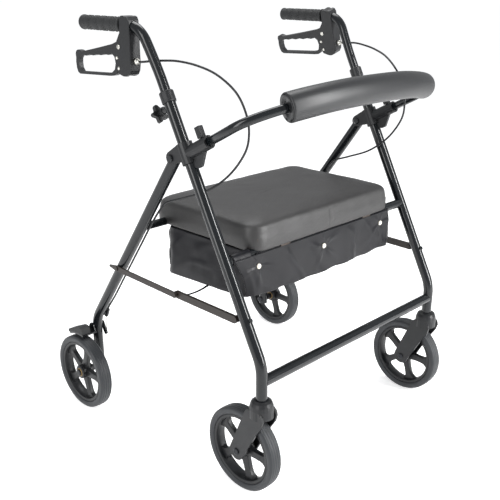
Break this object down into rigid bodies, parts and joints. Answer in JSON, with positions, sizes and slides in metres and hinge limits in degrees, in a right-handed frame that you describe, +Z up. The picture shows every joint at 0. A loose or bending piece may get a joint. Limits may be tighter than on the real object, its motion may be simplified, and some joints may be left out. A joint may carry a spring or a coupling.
{
  "type": "rollator_walker",
  "caption": "Folding bariatric rollator walker: steel frame, casters in front, braked rear wheels, padded flip-up seat, pouch, curved backrest and loop brakes.",
  "frame": {"origin": "on the floor below the middle of the walker", "axes": "+Z up, the caster side toward -Y, the user's right-hand side toward -X"},
  "size_m": [0.7864, 0.7622, 1.0156],
  "materials": {
    "gloss_black_steel": "gloss black powder coat over steel tube",
    "brown_black_steel": "satin brown-black coating over flat steel bar",
    "black_plastic": "moulded black nylon, satin",
    "grey_black_tyre": "solid grey-black tyre with a fine moulded tread",
    "grip_rubber": "matt moulded rubber",
    "zinc_steel": "bright zinc plate",
    "dark_grey_vinyl": "dark grey embossed vinyl upholstery over foam",
    "black_nylon": "woven black nylon",
    "black_foam": "closed-cell black foam sleeve",
    "seat_board": "dark plywood seat board"
  },
  "bodies": {
    "frame": {"lower_crossbar": "gloss_black_steel", "front_seat_bar": "gloss_black_steel", "storage_bag": "black_nylon", "right_front_leg": "gloss_black_steel", "right_side_bracket": "black_plastic", "right_height_collar": "black_plastic", "right_pivot_bolt": "gloss_black_steel", "right_brake_cable": "black_plastic", "right_bag_tie": "black_nylon", "left_front_leg": "gloss_black_steel", "left_side_bracket": "black_plastic", "left_height_collar": "black_plastic", "left_pivot_bolt": "gloss_black_steel", "left_brake_cable": "black_plastic", "left_bag_tie": "black_nylon"},
    "rear_frame": {"rear_seat_bar": "gloss_black_steel", "right_rear_leg": "gloss_black_steel", "right_rear_axle": "zinc_steel", "left_rear_leg": "gloss_black_steel", "left_rear_axle": "zinc_steel"},
    "seat": {"seat_board": "seat_board", "seat_cushion": "dark_grey_vinyl"},
    "backrest": {"backrest_tube": "gloss_black_steel", "backrest_pad": "black_foam"},
    "right_knob": {"right_clamp_knob": "black_plastic"},
    "right_handle": {"right_handle_tube": "gloss_black_steel", "right_hand_grip": "grip_rubber", "right_brake_housing": "black_plastic", "right_cable_adjuster": "zinc_steel", "right_lever_pin": "zinc_steel"},
    "right_lever": {"right_brake_lever": "black_plastic"},
    "right_brake": {"right_brake_arm": "gloss_black_steel", "right_brake_pedal": "grip_rubber"},
    "right_rear_wheel": {"right_rear_wheel_hub": "black_plastic", "right_rear_wheel_tyre": "grey_black_tyre"},
    "right_fork": {"right_caster_fork": "black_plastic", "right_caster_axle": "zinc_steel"},
    "right_caster_wheel": {"right_caster_wheel_hub": "black_plastic", "right_caster_wheel_tyre": "grey_black_tyre"},
    "right_front_spreader": {"right_front_spreader": "brown_black_steel"},
    "right_rear_spreader": {"right_rear_spreader": "brown_black_steel"},
    "right_catch": {"right_backrest_catch": "black_plastic"},
    "left_knob": {"left_clamp_knob": "black_plastic"},
    "left_handle": {"left_handle_tube": "gloss_black_steel", "left_hand_grip": "grip_rubber", "left_brake_housing": "black_plastic", "left_cable_adjuster": "zinc_steel", "left_lever_pin": "zinc_steel"},
    "left_lever": {"left_brake_lever": "black_plastic"},
    "left_brake": {"left_brake_arm": "gloss_black_steel", "left_brake_pedal": "grip_rubber"},
    "left_rear_wheel": {"left_rear_wheel_hub": "black_plastic", "left_rear_wheel_tyre": "grey_black_tyre"},
    "left_fork": {"left_caster_fork": "black_plastic", "left_caster_axle": "zinc_steel"},
    "left_caster_wheel": {"left_caster_wheel_hub": "black_plastic", "left_caster_wheel_tyre": "grey_black_tyre"},
    "left_front_spreader": {"left_front_spreader": "brown_black_steel"},
    "left_rear_spreader": {"left_rear_spreader": "brown_black_steel"},
    "left_catch": {"left_backrest_catch": "black_plastic"}
  },
  "joints": [
    {"name": "frame_fold", "type": "hinge", "parent": "frame", "child": "rear_frame", "pos_m": [0, -0.07854, 0.732], "axis": [-1, 0, 0], "range_deg": [0, 34], "deforming": ["storage_bag", "right_brake_cable", "left_brake_cable", "right_bag_tie", "left_bag_tie"]},
    {"name": "seat_flip", "type": "hinge", "parent": "frame", "child": "seat", "pos_m": [0, -0.22562, 0.532], "axis": [1, 0, 0], "range_deg": [0, 80]},
    {"name": "backrest_pull", "type": "slide", "parent": "frame", "child": "backrest", "axis": [0, -0.8865, 0.4627], "range_m": [0, 0.045]},
    {"name": "right_knob_turn", "type": "hinge", "parent": "frame", "child": "right_knob", "pos_m": [-0.322, -0.0663, 0.83727], "axis": [0, 0.8865, -0.4627], "continuous": true},
    {"name": "right_handle_height", "type": "slide", "parent": "frame", "child": "right_handle", "axis": [0, 0.4627, 0.8865], "range_m": [-0.03, 0.08]},
    {"name": "right_lever_squeeze", "type": "hinge", "parent": "right_handle", "child": "right_lever", "pos_m": [-0.331, 0.0738, 0.9491], "axis": [1, 0, 0], "range_deg": [0, 16], "stiffness_Nm_per_rad": 2, "springref_deg": -6.88},
    {"name": "right_brake_press", "type": "hinge", "parent": "rear_frame", "child": "right_brake", "pos_m": [-0.322, 0.2795, 0.222], "axis": [-1, 0, 0], "range_deg": [0, 5]},
    {"name": "right_rear_wheel_spin", "type": "hinge", "parent": "rear_frame", "child": "right_rear_wheel", "pos_m": [-0.371, 0.2795, 0.1016], "axis": [1, 0, 0], "continuous": true},
    {"name": "right_caster_swivel", "type": "hinge", "parent": "frame", "child": "right_fork", "pos_m": [-0.322, -0.3335, 0.22], "axis": [0, 0, 1], "continuous": true},
    {"name": "right_caster_spin", "type": "hinge", "parent": "right_fork", "child": "right_caster_wheel", "pos_m": [-0.322, -0.2795, 0.1016], "axis": [1, 0, 0], "continuous": true},
    {"name": "right_front_spreader_fold", "type": "hinge", "parent": "frame", "child": "right_front_spreader", "pos_m": [-0.33, -0.26087, 0.41497], "axis": [-1, 0, 0], "range_deg": [0, 87.13]},
    {"name": "right_rear_spreader_fold", "type": "hinge", "parent": "rear_frame", "child": "right_rear_spreader", "pos_m": [-0.3375, 0.1471, 0.422], "axis": [1, 0, 0], "range_deg": [0, 65.93]},
    {"name": "right_catch_pull", "type": "slide", "parent": "frame", "child": "right_catch", "axis": [0, 0.4627, 0.8865], "range_m": [0, 0.005], "stiffness_N_per_m": 300, "springref_m": -0.003},
    {"name": "left_knob_turn", "type": "hinge", "parent": "frame", "child": "left_knob", "pos_m": [0.322, -0.0663, 0.83727], "axis": [0, 0.8865, -0.4627], "continuous": true},
    {"name": "left_handle_height", "type": "slide", "parent": "frame", "child": "left_handle", "axis": [0, 0.4627, 0.8865], "range_m": [-0.03, 0.08]},
    {"name": "left_lever_squeeze", "type": "hinge", "parent": "left_handle", "child": "left_lever", "pos_m": [0.34487, 0.0738, 0.9513], "axis": [0.9511, 0, 0.309], "range_deg": [0, 16], "stiffness_Nm_per_rad": 2, "springref_deg": -6.88},
    {"name": "left_brake_press", "type": "hinge", "parent": "rear_frame", "child": "left_brake", "pos_m": [0.322, 0.2795, 0.222], "axis": [-1, 0, 0], "range_deg": [0, 5]},
    {"name": "left_rear_wheel_spin", "type": "hinge", "parent": "rear_frame", "child": "left_rear_wheel", "pos_m": [0.371, 0.2795, 0.1016], "axis": [1, 0, 0], "continuous": true},
    {"name": "left_caster_swivel", "type": "hinge", "parent": "frame", "child": "left_fork", "pos_m": [0.322, -0.3335, 0.22], "axis": [0, 0, 1], "continuous": true},
    {"name": "left_caster_spin", "type": "hinge", "parent": "left_fork", "child": "left_caster_wheel", "pos_m": [0.322, -0.2795, 0.1016], "axis": [1, 0, 0], "continuous": true},
    {"name": "left_front_spreader_fold", "type": "hinge", "parent": "frame", "child": "left_front_spreader", "pos_m": [0.33, -0.26087, 0.41497], "axis": [-1, 0, 0], "range_deg": [0, 87.13]},
    {"name": "left_rear_spreader_fold", "type": "hinge", "parent": "rear_frame", "child": "left_rear_spreader", "pos_m": [0.3375, 0.1471, 0.422], "axis": [1, 0, 0], "range_deg": [0, 65.93]},
    {"name": "left_catch_pull", "type": "slide", "parent": "frame", "child": "left_catch", "axis": [0, 0.4627, 0.8865], "range_m": [0, 0.005], "stiffness_N_per_m": 300, "springref_m": -0.003}
  ],
  "couplings": [
    {"joint": "right_brake_press", "follows": "right_lever_squeeze", "ratio": 0.3125},
    {"joint": "right_front_spreader_fold", "follows": "frame_fold", "ratio": 2.5623},
    {"joint": "right_rear_spreader_fold", "follows": "frame_fold", "ratio": 1.9388},
    {"joint": "left_brake_press", "follows": "left_lever_squeeze", "ratio": 0.3125},
    {"joint": "left_front_spreader_fold", "follows": "frame_fold", "ratio": 2.5623},
    {"joint": "left_rear_spreader_fold", "follows": "frame_fold", "ratio": 1.9388}
  ]
}
